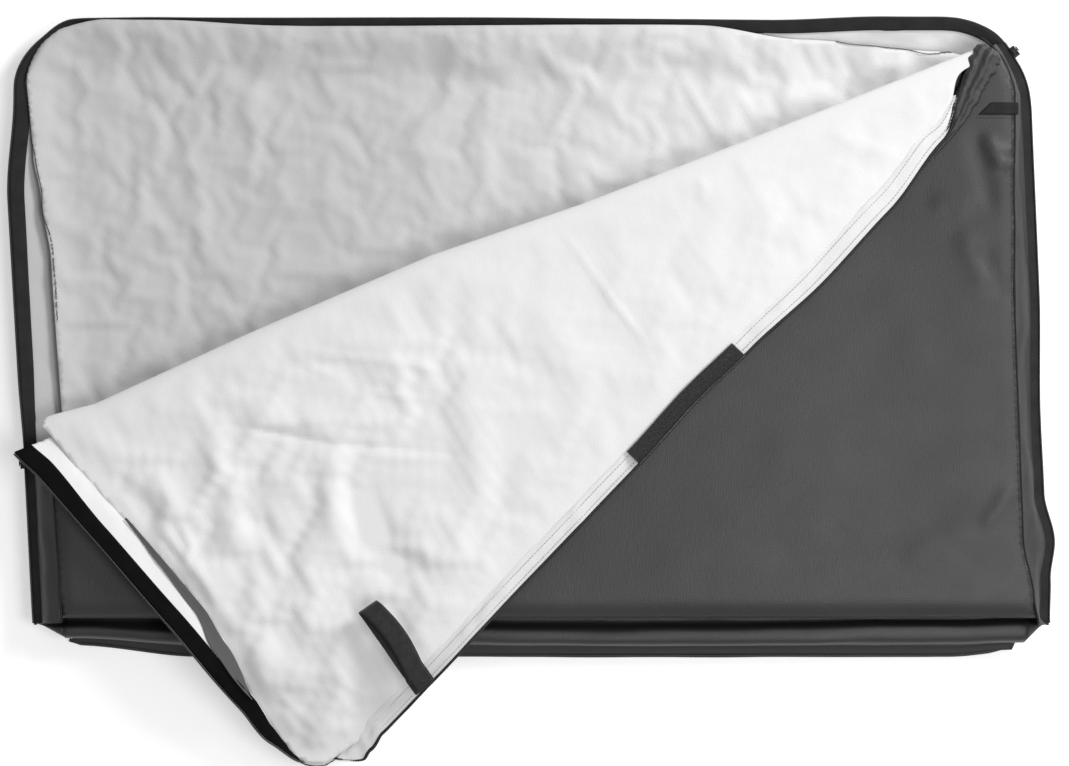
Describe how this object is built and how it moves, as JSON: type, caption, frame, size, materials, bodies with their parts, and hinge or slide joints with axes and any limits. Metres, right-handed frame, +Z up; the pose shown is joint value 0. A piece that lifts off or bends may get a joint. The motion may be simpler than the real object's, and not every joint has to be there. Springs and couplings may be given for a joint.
{
  "type": "portfolio case",
  "caption": "Large flat fabric storage case of two shallow trays, zipped on three sides, with one corner of its cover folded back to show a pale lining",
  "frame": {"origin": "on the underside of the back panel, near its middle, where the case rests", "axes": "+X along the long side to the right, +Y towards the zipped top edge, +Z up out of the back panel"},
  "size_m": [1.2106, 0.846, 0.0894],
  "materials": {
    "outer_fabric": "charcoal coated woven fabric, matt with a faint sheen",
    "lining_fabric": "white brushed cotton-like lining, softly wrinkled",
    "zip_tape": "black woven zip tape and binding",
    "zip_coil": "black nylon coil",
    "webbing": "black woven webbing",
    "hook_and_loop": "black hook and loop strip, fuzzy",
    "zip_metal": "black enamelled zip slider, satin"
  },
  "bodies": {
    "back": {"back_boxing_corner_left": "outer_fabric", "back_boxing_corner_right": "outer_fabric", "back_boxing_left": "outer_fabric", "back_boxing_right": "outer_fabric", "back_boxing_top": "outer_fabric", "back_lining": "lining_fabric", "back_loop_strip": "hook_and_loop", "back_shell": "outer_fabric", "back_zip_tape": "zip_tape", "back_zip_teeth": "zip_coil", "bottom_binding": "zip_tape", "zip_stop_left": "zip_metal", "zip_stop_right": "zip_metal"},
    "cover": {"bottom_gusset": "outer_fabric", "cover_boxing_corner_right": "outer_fabric", "cover_boxing_left": "outer_fabric", "cover_boxing_right": "outer_fabric", "cover_lining": "lining_fabric", "cover_shell": "outer_fabric", "cover_zip_tape_left": "zip_tape", "cover_zip_tape_right": "zip_tape", "cover_zip_teeth_left": "zip_coil", "cover_zip_teeth_right": "zip_coil", "gusset_end_left": "outer_fabric", "gusset_end_right": "outer_fabric"},
    "flap": {"flap_boxing_corner_left": "outer_fabric", "flap_boxing_corner_right": "outer_fabric", "flap_boxing_left": "outer_fabric", "flap_boxing_top": "outer_fabric", "flap_lining": "lining_fabric", "flap_shell": "outer_fabric", "flap_zip_tape": "zip_tape", "flap_zip_teeth": "zip_coil", "hook_strip": "hook_and_loop", "loop_anchor": "webbing"},
    "hang_loop": {"webbing_loop": "webbing"},
    "left_slider": {"zip_slider_left": "zip_metal"},
    "left_pull": {"zip_pull_left": "zip_metal"},
    "right_slider": {"zip_slider_right": "zip_metal"},
    "right_pull": {"zip_pull_right": "zip_metal"}
  },
  "joints": [
    {"name": "cover_hinge", "type": "hinge", "parent": "back", "child": "cover", "pos_m": [0, -0.366, 0.0015], "axis": [1, 0, 0], "range_deg": [0, 120]},
    {"name": "flap_fold", "type": "hinge", "parent": "cover", "child": "flap", "pos_m": [-0.5825, -0.132, 0.0565], "axis": [-0.9232, -0.3843, 0], "range_deg": [0, 180]},
    {"name": "loop_hinge", "type": "hinge", "parent": "flap", "child": "hang_loop", "pos_m": [-0.135, -0.379, 0.0862], "axis": [0.8192, 0.5736, 0], "range_deg": [0, 110]},
    {"name": "left_slider_run", "type": "slide", "parent": "back", "child": "left_slider", "axis": [-0.058, 0.9983, 0], "range_m": [-0.165, 0.4]},
    {"name": "left_pull_hinge", "type": "hinge", "parent": "left_slider", "child": "left_pull", "pos_m": [-0.58718, -0.14638, 0.028], "axis": [-0.058, 0.9983, 0], "range_deg": [0, 140]},
    {"name": "right_slider_run", "type": "hinge", "parent": "back", "child": "right_slider", "pos_m": [0.47482, 0.2591, 0.028], "axis": [0, 0, 1], "range_deg": [-34, 44]},
    {"name": "right_pull_hinge", "type": "hinge", "parent": "right_slider", "child": "right_pull", "pos_m": [0.56024, 0.33077, 0.028], "axis": [0.6428, -0.766, 0], "range_deg": [0, 140]}
  ]
}
